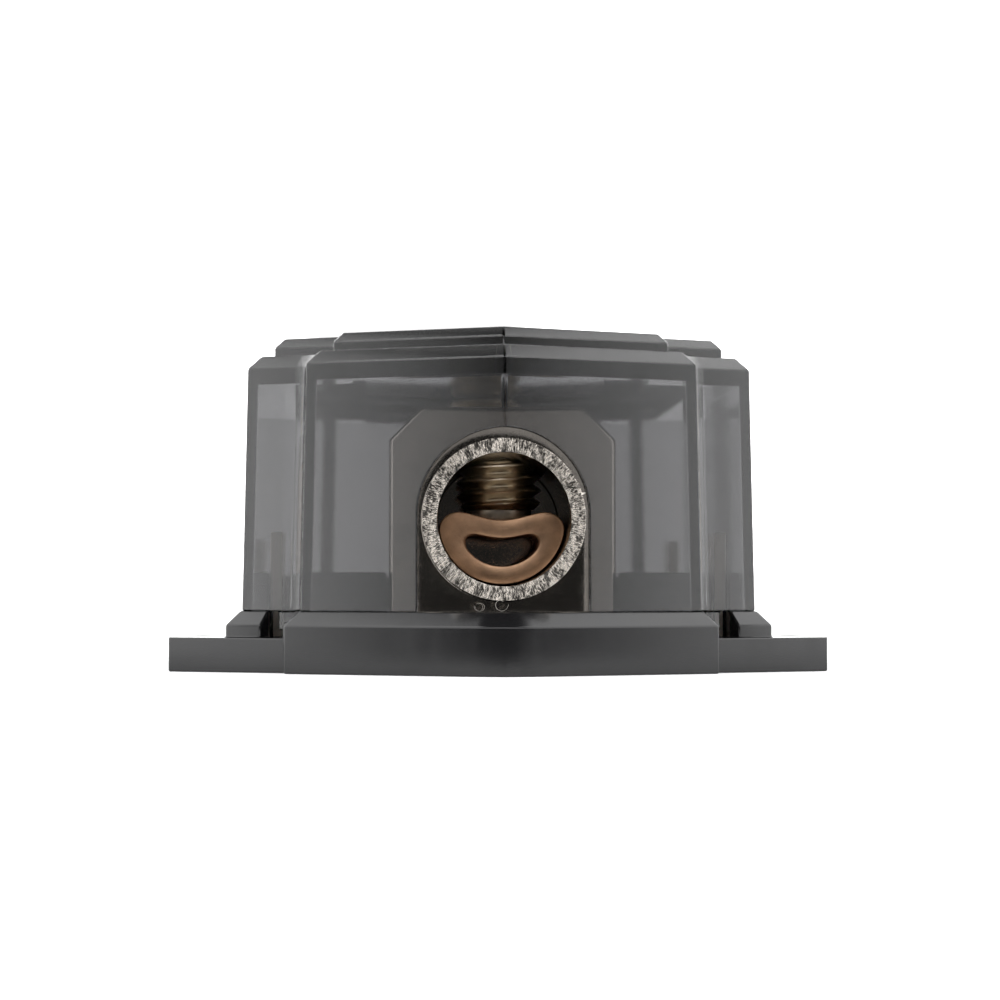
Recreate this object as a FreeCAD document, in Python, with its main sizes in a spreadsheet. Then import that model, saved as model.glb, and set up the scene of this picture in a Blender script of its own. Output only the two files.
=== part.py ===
"""Battery monitor shunt: a moulded base and a clear snap-on cover over two clamp terminal
blocks that are joined by four resistance strips.

Axes: X across the housing, Y along the current path with the front terminal at -Y, Z up.
The origin is on the underside, at the middle of the housing. All sizes are in millimetres.
The rear terminal is the front one turned half a turn about Z.
"""
import FreeCAD, Part
import Sketcher
import math
import os

os.makedirs("parts", exist_ok=True)
doc = FreeCAD.newDocument("BatteryMonitorShunt")

# ---------------------------------------------------------------- driving dimensions
SIZES = {
    # housing outline, given at the cover's foot
    "cover_length": 81.8,
    "nose_width": 36.6,
    "wing_reach": 5.7,
    "wing_setback": 11.8,
    "sweep": 24.0,
    "facet_width": 5.1,
    "facet_sweep": 14.0,
    # base
    "ear_reach": 5.35,
    "flange_setback": 9.3,
    "flange_thick": 3.2,
    "rim_top": 5.65,
    "rim_reach": 1.45,
    "rim_chamfer": 1.3,
    "guide_rise": 3.55,
    "guide_wall": 1.2,
    "guide_gap": 0.25,
    "ear_hole": 3.4,
    "ear_inset": 2.65,
    "ear_setback": 6.68,
    # cover
    "cover_wall": 1.1,
    "cover_draft": 1.1,
    "roof_wall": 2.6,
    "shoulder_chamfer": 1.2,
    "panel_step": 1.2,
    "panel_chamfer": 0.9,
    "panel_wall": 2.0,
    "corner_radius": 2.0,
    "arch_gap": 0.35,
    "arch_rise": 0.5,
    "tongue_width": 2.1,
    "tongue_floor_gap": 0.7,
    "tongue_inset": 0.11,
    "slot_gap": 0.3,
    "slot_mouth": 2.55,
    "slot_lead": 0.45,
    "slot_overrun": 2.9,
    # terminal blocks
    "bore_diameter": 11.9,
    "bore_end_wall": 2.0,
    "barrel_wall": 1.35,
    "barrel_reach": 4.5,
    "barrel_lift": 0.95,
    "block_side": 2.8,
    "block_length": 21.0,
    "block_inset": 1.74,
    "block_chamfer": 3.0,
    "block_gap": 0.25,
    "block_headroom": 2.7,
    # set screws and their pressure tips
    "screw_diameter": 8.0,
    "screw_length": 7.6,
    "screw_setback": 10.5,
    "screw_chamfer": 0.6,
    "screw_headroom": 0.3,
    "thread_length": 4.35,
    "thread_play": 0.05,
    "hex_across": 4.0,
    "hex_depth": 3.8,
    "tip_diameter": 6.2,
    "tip_height": 1.4,
    "tip_chamfer": 0.4,
    "tip_clearance": 0.15,
    "stem_diameter": 3.0,
    "stem_height": 1.6,
    "stem_gap": 0.2,
    # copper reducer sleeve
    "sleeve_gap": 0.15,
    "sleeve_wall": 1.9,
    "sleeve_length": 12.0,
    "sleeve_inset": 6.0,
    "sleeve_shoulder": 0.9,
    "sleeve_dent": 0.25,
    "dent_margin": 0.9,
    # resistance strips
    "strip_thick": 1.5,
    "strip_foot": 2.9,
    "strip_cover": 4.0,
    "strip_spacing": 5.0,
    "strip_joint": 3.0,
    # sense straps and block screws
    "strap_thick": 1.1,
    "strap_width": 6.3,
    "strap_setback": 0.8,
    "strap_gap": 0.15,
    "tab_height": 9.85,
    "fixing_diameter": 4.0,
    "fixing_head": 8.0,
    "fixing_length": 9.6,
    "fixing_edge": 2.9,
    "fixing_play": 0.25,
    "fixing_end_gap": 0.6,
    "drive_width": 2.6,
    "drive_depth": 1.3,
    "head_recess": 0.15,
}

sheet = doc.addObject("Spreadsheet::Sheet", "Sizes")
for row, (alias, value) in enumerate(SIZES.items(), start=1):
    sheet.set(f"A{row}", alias)
    sheet.set(f"B{row}", str(value))
    sheet.setAlias(f"B{row}", alias)
doc.recompute()


# the least volume that a cut takes away, and how near two heights are when they are one
LEAST_CUT = 1e-6
SAME_LEVEL = 1e-4


def bound(text):
    """A size written with sheet names, as an expression of the document."""
    words = []
    word = ""
    for letter in text + " ":
        if letter.isalnum() or letter == "_":
            word += letter
            continue
        words.append(f"Sizes.{word}" if word in SIZES else word)
        words.append(letter)
        word = ""
    return "".join(words).strip()


def size(text):
    """The present value of a size written with sheet names."""
    value = sheet.evalExpression(bound(text))
    return float(getattr(value, "Value", value))


# ---------------------------------------------------------------- sizes that follow
TAN = "tan(sweep * 1deg)"
COS = "cos(sweep * 1deg)"
FACET_TAN = "tan(facet_sweep * 1deg)"
NOSE_HALF = "(nose_width / 2)"
WING_HALF = "(nose_width / 2 + wing_reach)"
RIM_HALF = f"({NOSE_HALF} + rim_reach)"
FLANGE_HALF = f"({WING_HALF} + rim_reach + ear_reach)"
RIDGE = "(cover_length / 2)"
FLANGE_NEAR = f"({RIDGE} - flange_setback)"
FLANGE_FAR = f"({FLANGE_NEAR} - ({FLANGE_HALF} - {RIM_HALF}) * {TAN})"
GUIDE_OUTER = "(cover_wall + guide_gap)"
GUIDE_INNER = "(cover_wall + guide_gap + guide_wall)"
GUIDE_TOP = "(rim_top + guide_rise)"
TONGUE_BOTTOM = "(flange_thick + tongue_floor_gap)"
TONGUE_NEAR = f"({NOSE_HALF} + slot_gap / 2)"
TONGUE_FAR = f"({TONGUE_NEAR} + tongue_width)"


def front_line(across, inset):
    """How far ahead of the middle the swept nose front stands at a distance across."""
    return f"({RIDGE} - ({across}) * {TAN} - ({inset}) / {COS})"


def wing_line(across, inset):
    """The same for the swept front of a wing, beside the nose."""
    return (f"({RIDGE} - wing_setback - (({across}) - {NOSE_HALF}) * {TAN}"
            f" - ({inset}) / {COS})")


BARREL_DIAMETER = "(bore_diameter + 2 * barrel_wall)"
BARREL_AXIS = f"(rim_top + barrel_lift + {BARREL_DIAMETER} / 2)"
BLOCK_HALF = f"({BARREL_DIAMETER} / 2 + block_side)"
BLOCK_BOTTOM = "(flange_thick + strap_thick)"
BLOCK_TOP = f"({BARREL_AXIS} + bore_diameter / 2 + thread_length)"
BLOCK_FRONT = front_line(BLOCK_HALF, "block_inset")
BLOCK_BACK = f"({BLOCK_FRONT} - block_length)"
BORE_DEPTH = "(barrel_reach + block_length - strip_joint - bore_end_wall)"
SCREW_PLACE = f"({BLOCK_FRONT} - screw_setback)"
TIP_BOTTOM = {
    "front": f"({BARREL_AXIS} - tip_clearance)",
    "rear": f"({BARREL_AXIS} + bore_diameter / 2 + tip_clearance)",
}

CEILING = f"({BLOCK_TOP} + block_headroom)"
SHOULDER_TOP = f"({CEILING} + roof_wall)"
PANEL_CEILING = f"({TIP_BOTTOM['rear']} + tip_height + screw_length + screw_headroom)"
PANEL_TOP = f"({PANEL_CEILING} + panel_wall)"

STRAP_HALF = f"({WING_HALF} - {GUIDE_INNER} - strap_gap)"
FIXING_HALF = f"({BLOCK_HALF} - fixing_edge)"
FIXING_SINK = "((fixing_head - fixing_diameter) / 2)"
STRAP_PLACE = f"({wing_line(STRAP_HALF, GUIDE_INNER)} - strap_setback - strap_width / 2)"
STRIP_PLACES = [f"({step} * strip_spacing)" for step in (-1.5, -0.5, 0.5, 1.5)]


# ---------------------------------------------------------------- outlines
def quarter(inset):
    """The housing outline's front right quarter, moved in by an inset."""
    nose = f"({NOSE_HALF} - ({inset}))"
    wing = f"({WING_HALF} - ({inset}))"
    return [
        ("0", front_line("0", inset)),
        (nose, front_line(nose, inset)),
        (nose, wing_line(nose, inset)),
        (wing, wing_line(wing, inset)),
    ]


def faceted_quarter(inset):
    """The same with a flatter facet across the ridge."""
    points = quarter(inset)
    facet = "(facet_width / 2)"
    edge = front_line(facet, inset)
    ridge = ("0", f"({edge} + {facet} * {FACET_TAN})")
    return [ridge, (facet, edge)] + points[1:]


def all_round(points):
    """A closed outline from the points of its front right quarter, which start at X = 0."""
    right_front = [(x, f"-({y})") for x, y in points]
    right_rear = [(x, y) for x, y in reversed(points)]
    left_rear = [(f"-({x})", y) for x, y in points[1:]]
    left_front = [(f"-({x})", f"-({y})") for x, y in reversed(points[1:])]
    return right_front + right_rear + left_rear + left_front


def rectangle(half_width, half_depth):
    return [
        (f"-({half_width})", f"-({half_depth})"),
        (half_width, f"-({half_depth})"),
        (half_width, half_depth),
        (f"-({half_width})", half_depth),
    ]


def at_four_notches(points):
    """The points of the rear right quarter, repeated in all four quarters."""
    signs = [("", ""), ("", "-"), ("-", ""), ("-", "-")]
    return [[(f"{across}{x}", f"{along}{y}") for x, y in points] for across, along in signs]


# ---------------------------------------------------------------- features
def new_body(label):
    body = doc.addObject("PartDesign::Body", label)
    body.Label = label
    return body


def new_sketch(body, name, plane, height="0"):
    """A sketch on one of the body's origin planes, moved along its normal by a height."""
    sketch = body.newObject("Sketcher::SketchObject", name)
    support = [f for f in body.Origin.OriginFeatures if f.Role == plane][0]
    sketch.AttachmentSupport = [(support, "")]
    sketch.MapMode = "FlatFace"
    sketch.setExpression("AttachmentOffset.Base.z", bound(height))
    return sketch


def pin_point(sketch, edge, end, place):
    """Holds one end of an edge at a place given by two sizes."""
    for kind, text in zip(("DistanceX", "DistanceY"), place):
        number = sketch.addConstraint(Sketcher.Constraint(kind, -1, 1, edge, end, size(text)))
        sketch.setExpression(f"Constraints[{number}]", bound(text))


def add_outline(sketch, points):
    """A closed outline of straight edges, each corner held by its own two sizes."""
    corners = [FreeCAD.Vector(size(x), size(y), 0) for x, y in points]
    first = sketch.GeometryCount
    for corner, following in zip(corners, corners[1:] + corners[:1]):
        sketch.addGeometry(Part.LineSegment(corner, following))
    for index, place in enumerate(points):
        after = first + (index + 1) % len(points)
        sketch.addConstraint(Sketcher.Constraint("Coincident", first + index, 2, after, 1))
        pin_point(sketch, first + index, 1, place)


def add_circle(sketch, place, diameter):
    centre = FreeCAD.Vector(size(place[0]), size(place[1]), 0)
    shape = Part.Circle(centre, FreeCAD.Vector(0, 0, 1), size(diameter) / 2)
    edge = sketch.addGeometry(shape)
    pin_point(sketch, edge, 3, place)
    number = sketch.addConstraint(Sketcher.Constraint("Diameter", edge, size(diameter)))
    sketch.setExpression(f"Constraints[{number}]", bound(diameter))


def extrude(body, kind, sketch, length, reverse=False, draft=None, midplane=False):
    """A Pad or a Pocket of a sketch. A Pocket has to take material away."""
    before = body.Shape.Volume if kind == "Pocket" else 0.0
    feature = body.newObject(f"PartDesign::{kind}", f"{kind}_{sketch.Name}")
    feature.Profile = sketch
    feature.Length = size(length)
    feature.setExpression("Length", bound(length))
    feature.Reversed = reverse
    if midplane:
        feature.SideType = "Symmetric"
    if draft:
        feature.TaperAngle = size(draft)
        feature.setExpression("TaperAngle", bound(draft))
    doc.recompute()
    if kind == "Pocket" and body.Shape.Volume > before - LEAST_CUT:
        raise RuntimeError(f"{feature.Name} cuts nothing")
    return feature


def drill(body, name, groups, diameter, depth):
    """Round holes up into the underside, at the points of each group."""
    sketch = new_sketch(body, name, "XY_Plane")
    for group in groups:
        for place in group:
            add_circle(sketch, place, diameter)
    extrude(body, "Pocket", sketch, depth, reverse=True)


def dress(body, kind, base, edges, amount):
    """A Fillet or Chamfer on the edges of the base feature that a test picks out."""
    names = [f"Edge{n}" for n, edge in enumerate(base.Shape.Edges, start=1) if edges(edge)]
    if not names:
        raise RuntimeError(f"no edge for the {kind} on {base.Name}")
    feature = body.newObject(f"PartDesign::{kind}", f"{kind}_{base.Name}")
    feature.Base = (base, names)
    name = "Radius" if kind == "Fillet" else "Size"
    setattr(feature, name, size(amount))
    feature.setExpression(name, bound(amount))
    doc.recompute()
    return feature


def at_height(*heights):
    """A test for edges that lie wholly at one of the heights."""
    levels = [size(height) for height in heights]

    def lies_there(edge):
        return any(all(abs(v.Z - level) < SAME_LEVEL for v in edge.Vertexes) for level in levels)

    return lies_there


def inner_corners(edge):
    """The upright edges in the housing's four notches."""
    low, high = edge.BoundBox.ZMin, edge.BoundBox.ZMax
    middle = edge.CenterOfMass
    upright = high - low > size("panel_wall")
    beside_nose = abs(abs(middle.x) - size(NOSE_HALF)) < size("wing_reach / 2")
    at_wing = abs(middle.y) < size(wing_line(NOSE_HALF, "-cover_wall"))
    return upright and beside_nose and at_wing


def turn(body, side):
    """Leaves a front piece in place, or turns it half a turn about Z for the rear."""
    angle = 0 if side == "front" else 180
    body.Placement = FreeCAD.Placement(
        FreeCAD.Vector(0, 0, 0), FreeCAD.Rotation(FreeCAD.Vector(0, 0, 1), angle))
    return body


# ---------------------------------------------------------------- base
def make_base():
    """The floor, the fixing flanges, the chamfered rim that the cover stands on, and the
    upright guide wall that the cover slides down over."""
    body = new_body("base")
    plate = new_sketch(body, "PlateOutline", "XY_Plane")
    flange = [(RIM_HALF, FLANGE_NEAR), (FLANGE_HALF, FLANGE_FAR)]
    add_outline(plate, all_round(faceted_quarter("-rim_reach")[:3] + flange))
    extrude(body, "Pad", plate, "flange_thick")

    rim = new_sketch(body, "RimOutline", "XY_Plane")
    add_outline(rim, all_round(faceted_quarter("-rim_reach")))
    raised = extrude(body, "Pad", rim, "rim_top")
    dress(body, "Chamfer", raised, at_height("rim_top"), "rim_chamfer")

    guide = new_sketch(body, "GuideOutline", "XY_Plane")
    add_outline(guide, all_round(quarter(GUIDE_OUTER)))
    extrude(body, "Pad", guide, GUIDE_TOP)

    inside = new_sketch(body, "InsideOutline", "XY_Plane", GUIDE_TOP)
    add_outline(inside, all_round(quarter(GUIDE_INNER)))
    extrude(body, "Pocket", inside, f"{GUIDE_TOP} - flange_thick")
    half = f"({BLOCK_HALF} + block_gap)"
    seat = new_sketch(body, "BlockSeat", "XY_Plane", GUIDE_TOP)
    add_outline(seat, rectangle(half, f"({BLOCK_FRONT} + block_gap)"))
    extrude(body, "Pocket", seat, f"{GUIDE_TOP} - flange_thick")
    mouth = new_sketch(body, "BlockMouth", "XY_Plane", GUIDE_TOP)
    add_outline(mouth, rectangle(half, RIDGE))
    extrude(body, "Pocket", mouth, "guide_rise")

    slots = new_sketch(body, "TongueSlots", "XY_Plane", GUIDE_TOP)
    for corners in at_four_notches(tongue_slot()):
        add_outline(slots, corners)
    extrude(body, "Pocket", slots, f"{GUIDE_TOP} - flange_thick")

    ears = [(f"({FLANGE_HALF} - ear_inset)", f"({FLANGE_FAR} - ear_setback)")]
    drill(body, "EarHoles", at_four_notches(ears), "ear_hole", "flange_thick")
    fixings = at_four_notches([(FIXING_HALF, STRAP_PLACE)])
    drill(body, "FixingHoles", fixings, "fixing_diameter + 2 * fixing_play", "flange_thick")
    sink = f"{FIXING_SINK} + head_recess"
    drill(body, "HeadSeats", fixings, "fixing_head + 2 * fixing_play", sink)
    return body


def tongue_slot():
    """The slot at one notch: a pocket for the tongue, which also bares the sense tab behind
    it, with a mouth that is splayed outwards."""
    inner = f"({TONGUE_NEAR} - slot_gap)"
    outer = f"max({TONGUE_FAR} + slot_gap; {WING_HALF} - {GUIDE_INNER})"
    shelf = f"({RIM_HALF} + slot_gap)"
    ahead = wing_line(NOSE_HALF, "-slot_overrun")
    closed = wing_line(inner, "-slot_lead")
    back = wing_line(outer, GUIDE_INNER)
    return [
        (inner, back),
        (inner, closed),
        (shelf, closed),
        (shelf, ahead),
        (f"({outer} + slot_mouth)", ahead),
        (outer, wing_line(outer, "0")),
        (outer, back),
    ]


# ---------------------------------------------------------------- cover
def make_cover():
    """The clear cover: a drafted shell with a chamfered shoulder and a raised top panel,
    an arch over each cable entry and four tongues that drop into the base."""
    body = new_body("cover")
    height = f"({SHOULDER_TOP} - rim_top)"
    outer = new_sketch(body, "ShellOutline", "XY_Plane", "rim_top")
    add_outline(outer, all_round(quarter("0")))
    shell = extrude(body, "Pad", outer, height, draft="-cover_draft")
    shell = dress(body, "Fillet", shell, inner_corners, "corner_radius")
    dress(body, "Chamfer", shell, at_height(SHOULDER_TOP), "shoulder_chamfer")

    panel_inset = f"({height} * tan(cover_draft * 1deg) + shoulder_chamfer + panel_step)"
    panel = new_sketch(body, "PanelOutline", "XY_Plane", CEILING)
    add_outline(panel, all_round(quarter(panel_inset)))
    raised = extrude(body, "Pad", panel, f"{PANEL_TOP} - {CEILING}")
    dress(body, "Chamfer", raised, at_height(PANEL_TOP), "panel_chamfer")

    cavity = new_sketch(body, "CavityOutline", "XY_Plane", "rim_top")
    add_outline(cavity, all_round(quarter("cover_wall")))
    depth = f"{CEILING} - rim_top"
    extrude(body, "Pocket", cavity, depth, reverse=True, draft="-cover_draft")
    hollow = new_sketch(body, "PanelHollow", "XY_Plane", "rim_top")
    add_outline(hollow, all_round(quarter(f"({panel_inset} + panel_wall)")))
    extrude(body, "Pocket", hollow, f"{PANEL_CEILING} - rim_top", reverse=True)

    arch = new_sketch(body, "CableArch", "XZ_Plane")
    radius = f"({BARREL_DIAMETER} / 2 + arch_gap)"
    add_arch(arch, radius, "rim_top - cover_wall", f"{BARREL_AXIS} + arch_rise")
    extrude(body, "Pocket", arch, "cover_length", midplane=True)

    tongues = new_sketch(body, "Tongues", "XY_Plane", TONGUE_BOTTOM)
    tongue = [
        (TONGUE_NEAR, wing_line(TONGUE_NEAR, "tongue_inset")),
        (TONGUE_FAR, wing_line(TONGUE_FAR, "tongue_inset")),
        (TONGUE_FAR, wing_line(TONGUE_FAR, "cover_wall")),
        (TONGUE_NEAR, wing_line(TONGUE_NEAR, "cover_wall")),
    ]
    for corners in at_four_notches(tongue):
        add_outline(tongues, corners)
    extrude(body, "Pad", tongues, f"rim_top - {TONGUE_BOTTOM} + cover_wall")
    return body


def add_arch(sketch, radius, low, centre):
    """An upright slot with a round top, drawn in the plane of the cable entry."""
    r = size(radius)
    foot = size(low)
    height = size(centre)
    middle = FreeCAD.Vector(0, height, 0)
    axis = FreeCAD.Vector(0, 0, 1)
    sketch.addGeometry(Part.ArcOfCircle(Part.Circle(middle, axis, r), 0, math.pi))
    corners = [(r, height), (r, foot), (-r, foot), (-r, height)]
    ends = [FreeCAD.Vector(x, y, 0) for x, y in corners]
    for start, end in zip(ends, ends[1:]):
        sketch.addGeometry(Part.LineSegment(start, end))
    joins = [(0, 1, 1, 1), (1, 2, 2, 1), (2, 2, 3, 1), (3, 2, 0, 2)]
    for join in joins:
        sketch.addConstraint(Sketcher.Constraint("Coincident", *join))
    pin_point(sketch, 1, 1, (radius, centre))
    pin_point(sketch, 1, 2, (radius, low))
    pin_point(sketch, 2, 2, (f"-{radius}", low))
    pin_point(sketch, 0, 3, ("0", centre))
    number = sketch.addConstraint(Sketcher.Constraint("DistanceY", -1, 1, 0, 2, height))
    sketch.setExpression(f"Constraints[{number}]", bound(centre))


# ---------------------------------------------------------------- terminals
def make_block(side):
    """A clamp terminal: a block with a barrel at its mouth, a blind cable bore, a tapped
    hole for the set screw, and slots in its back for the resistance strips."""
    body = new_body(f"{side}_terminal_block")
    face = new_sketch(body, "BlockFace", "XZ_Plane", BLOCK_FRONT)
    corner = f"({BLOCK_HALF} - block_chamfer)"
    shoulder = f"({BLOCK_TOP} - block_chamfer)"
    add_outline(face, [
        (f"-{BLOCK_HALF}", BLOCK_BOTTOM),
        (BLOCK_HALF, BLOCK_BOTTOM),
        (BLOCK_HALF, shoulder),
        (corner, BLOCK_TOP),
        (f"-{corner}", BLOCK_TOP),
        (f"-{BLOCK_HALF}", shoulder),
    ])
    extrude(body, "Pad", face, "block_length", reverse=True)

    mouth = f"({BLOCK_FRONT} + barrel_reach)"
    barrel = new_sketch(body, "Barrel", "XZ_Plane", mouth)
    add_circle(barrel, ("0", BARREL_AXIS), BARREL_DIAMETER)
    extrude(body, "Pad", barrel, "barrel_reach + barrel_wall", reverse=True)
    bore = new_sketch(body, "CableBore", "XZ_Plane", mouth)
    add_circle(bore, ("0", BARREL_AXIS), "bore_diameter")
    extrude(body, "Pocket", bore, BORE_DEPTH)

    tapped = new_sketch(body, "TappedHole", "XY_Plane", BLOCK_TOP)
    add_circle(tapped, ("0", f"-{SCREW_PLACE}"), "screw_diameter + 2 * thread_play")
    extrude(body, "Pocket", tapped, f"{BLOCK_TOP} - {BARREL_AXIS}")

    slots = new_sketch(body, "StripSlots", "XZ_Plane", BLOCK_BACK)
    for place in STRIP_PLACES:
        add_outline(slots, strip_outline(place))
    extrude(body, "Pocket", slots, "strip_joint", reverse=True)

    threads = new_sketch(body, "FixingThreads", "XY_Plane", BLOCK_BOTTOM)
    for x in (FIXING_HALF, f"-{FIXING_HALF}"):
        add_circle(threads, (x, f"-{STRAP_PLACE}"), "fixing_diameter + 2 * thread_play")
    depth = f"head_recess + fixing_length + fixing_end_gap - {BLOCK_BOTTOM}"
    extrude(body, "Pocket", threads, depth, reverse=True)
    return turn(body, side)


def strip_outline(place):
    """The end of one strip, upright, at its place across the block."""
    left = f"({place} - strip_thick / 2)"
    right = f"({place} + strip_thick / 2)"
    foot = f"({BLOCK_BOTTOM} + strip_foot)"
    top = f"({BLOCK_TOP} - strip_cover)"
    return [(left, foot), (right, foot), (right, top), (left, top)]


def make_strip(number, place):
    """One upright resistance strip, let into a slot of each block."""
    body = new_body(f"shunt_strip_{number}")
    face = new_sketch(body, "StripFace", "XZ_Plane")
    add_outline(face, strip_outline(place))
    extrude(body, "Pad", face, f"2 * ({BLOCK_BACK} + strip_joint)", midplane=True)
    return body


def make_set_screw(side):
    """A hollow-hexagon set screw. Its lower end is bored for the pressure tip's stem."""
    body = new_body(f"{side}_set_screw")
    axis = ("0", f"-{SCREW_PLACE}")
    bottom = f"({TIP_BOTTOM[side]} + tip_height)"
    top = f"({bottom} + screw_length)"
    shank = new_sketch(body, "Shank", "XY_Plane", bottom)
    add_circle(shank, axis, "screw_diameter")
    solid = extrude(body, "Pad", shank, "screw_length")
    dress(body, "Chamfer", solid, at_height(bottom, top), "screw_chamfer")

    socket = new_sketch(body, "HexSocket", "XY_Plane", top)
    corner = "(hex_across / 2 / cos(30deg))"
    angles = [f"{60 * turns}deg" for turns in range(6)]
    add_outline(socket, [
        (f"{corner} * cos({angle})", f"{corner} * sin({angle}) - {SCREW_PLACE}")
        for angle in angles
    ])
    extrude(body, "Pocket", socket, "hex_depth")
    stem = new_sketch(body, "StemBore", "XY_Plane", bottom)
    add_circle(stem, axis, "stem_diameter + 2 * thread_play")
    extrude(body, "Pocket", stem, "stem_height + stem_gap", reverse=True)
    return turn(body, side)


def make_pressure_tip(side):
    """The disc that bears on the cable and stays still while the screw turns above it."""
    body = new_body(f"{side}_pressure_tip")
    axis = ("0", f"-{SCREW_PLACE}")
    bottom = TIP_BOTTOM[side]
    disc = new_sketch(body, "Disc", "XY_Plane", bottom)
    add_circle(disc, axis, "tip_diameter")
    solid = extrude(body, "Pad", disc, "tip_height")
    dress(body, "Chamfer", solid, at_height(bottom), "tip_chamfer")
    stem = new_sketch(body, "Stem", "XY_Plane", f"{bottom} + tip_height")
    add_circle(stem, axis, "stem_diameter")
    extrude(body, "Pad", stem, "stem_height")
    return turn(body, side)


def place_at(piece, x, y, z):
    """Binds a primitive's place, given by three sizes."""
    for direction, text in (("x", x), ("y", y), ("z", z)):
        piece.setExpression(f"Placement.Base.{direction}", bound(text))


def combine(kind, name, base, tool):
    result = doc.addObject(f"Part::{kind}", name)
    result.Base = base
    result.Tool = tool
    return result


def sleeve_form(name, radius, shoulder, dent):
    """A bar along the bore, round below and pressed down above: to the shoulder's height
    at its sides, and to the dent's under the screw. Heights are above the bore's axis."""
    start = f"-({BLOCK_FRONT} + barrel_reach - sleeve_inset)"
    round_bar = doc.addObject("Part::Cylinder", f"{name}_bar")
    round_bar.setExpression("Radius", bound(radius))
    round_bar.setExpression("Height", bound("sleeve_length"))
    round_bar.Placement.Rotation = FreeCAD.Rotation(FreeCAD.Vector(1, 0, 0), -90)
    place_at(round_bar, "0", start, BARREL_AXIS)
    form = round_bar
    dent_half = "(tip_diameter / 2 + dent_margin)"
    for word, half, level in (("flat", "bore_diameter", shoulder), ("dent", dent_half, dent)):
        press = doc.addObject("Part::Box", f"{name}_{word}")
        press.setExpression("Length", bound(f"2 * {half}"))
        press.setExpression("Width", bound("sleeve_length"))
        press.setExpression("Height", bound("bore_diameter"))
        place_at(press, f"-{half}", start, f"{BARREL_AXIS} + {level}")
        form = combine("Cut", f"{name}_{word}_cut", form, press)
    return form


def make_sleeve():
    """The soft copper reducer sleeve in the front bore, dented by the set screw."""
    radius = "(bore_diameter / 2 - sleeve_gap)"
    shoulder = "sleeve_shoulder"
    dent = "-(tip_clearance + sleeve_dent)"
    outside = sleeve_form("outside", radius, shoulder, dent)
    inside = sleeve_form("inside", f"({radius} - sleeve_wall)",
                         f"({shoulder} - sleeve_wall)", f"({dent} - sleeve_wall)")
    sleeve = combine("Cut", "front_copper_sleeve", outside, inside)
    sleeve.Label = "front_copper_sleeve"
    return sleeve


def make_strap(side):
    """The plated sense strap under a block, with a tab bent up at each end."""
    body = new_body(f"{side}_sense_strap")
    profile = new_sketch(body, "StrapProfile", "XZ_Plane", f"{STRAP_PLACE} + strap_width / 2")
    inner = f"({STRAP_HALF} - strap_thick)"
    top = "(flange_thick + tab_height)"
    add_outline(profile, [
        (f"-{STRAP_HALF}", "flange_thick"),
        (STRAP_HALF, "flange_thick"),
        (STRAP_HALF, top),
        (inner, top),
        (inner, BLOCK_BOTTOM),
        (f"-{inner}", BLOCK_BOTTOM),
        (f"-{inner}", top),
        (f"-{STRAP_HALF}", top),
    ])
    extrude(body, "Pad", profile, "strap_width", reverse=True)
    holes = new_sketch(body, "StrapHoles", "XY_Plane", "flange_thick")
    for x in (FIXING_HALF, f"-{FIXING_HALF}"):
        add_circle(holes, (x, f"-{STRAP_PLACE}"), "fixing_diameter + 2 * fixing_play")
    extrude(body, "Pocket", holes, "strap_thick", reverse=True)
    return turn(body, side)


def make_fixing_screws(side):
    """The two countersunk screws that hold a block and its strap to the base."""
    screws = []
    for hand, across in (("left", "-"), ("right", "")):
        head = doc.addObject("Part::Cone", f"{side}_{hand}_head")
        head.setExpression("Radius1", bound("fixing_head / 2"))
        head.setExpression("Radius2", bound("fixing_diameter / 2"))
        head.setExpression("Height", bound(FIXING_SINK))
        shank = doc.addObject("Part::Cylinder", f"{side}_{hand}_shank")
        shank.setExpression("Radius", bound("fixing_diameter / 2"))
        shank.setExpression("Height", bound("fixing_length"))
        drive = doc.addObject("Part::Cylinder", f"{side}_{hand}_drive")
        drive.setExpression("Radius", bound("drive_width / 2"))
        drive.setExpression("Height", bound("drive_depth"))
        for piece in (head, shank, drive):
            place_at(piece, f"{across}{FIXING_HALF}", f"-{STRAP_PLACE}", "head_recess")
        blank = combine("Fuse", f"{side}_{hand}_blank", head, shank)
        screws.append(combine("Cut", f"{side}_{hand}_screw", blank, drive))
    pair = doc.addObject("Part::Compound", f"{side}_block_screws")
    pair.Label = f"{side}_block_screws"
    pair.Links = screws
    return turn(pair, side)


# ---------------------------------------------------------------- the whole shunt
parts = [make_base(), make_cover(), make_sleeve()]
for end in ("front", "rear"):
    parts.append(make_block(end))
    parts.append(make_set_screw(end))
    parts.append(make_pressure_tip(end))
    parts.append(make_strap(end))
    parts.append(make_fixing_screws(end))
for count, strip_place in enumerate(STRIP_PLACES, start=1):
    parts.append(make_strip(count, strip_place))
doc.recompute()

for thing in doc.Objects:
    if {"Invalid", "Error"} & set(thing.State):
        raise RuntimeError(f"{thing.Label} failed: {thing.State}")
for part in parts:
    if part.Shape.isNull() or not part.Shape.isValid():
        raise RuntimeError(f"{part.Label} has no sound shape")
    part.Shape.exportStep(f"parts/{part.Label}.step")
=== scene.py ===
"""Battery monitor shunt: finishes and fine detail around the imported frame.

Everything is in metres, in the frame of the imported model: X across the housing, Y along
the current path with the front terminal at -Y, Z up from the underside. Each operator
makes one piece or one group of like pieces, and the last one sets the studio.
"""
import math

import bmesh
import bpy
from bpy.props import FloatProperty, FloatVectorProperty, IntProperty, PointerProperty
from mathutils import Matrix, Vector


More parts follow.
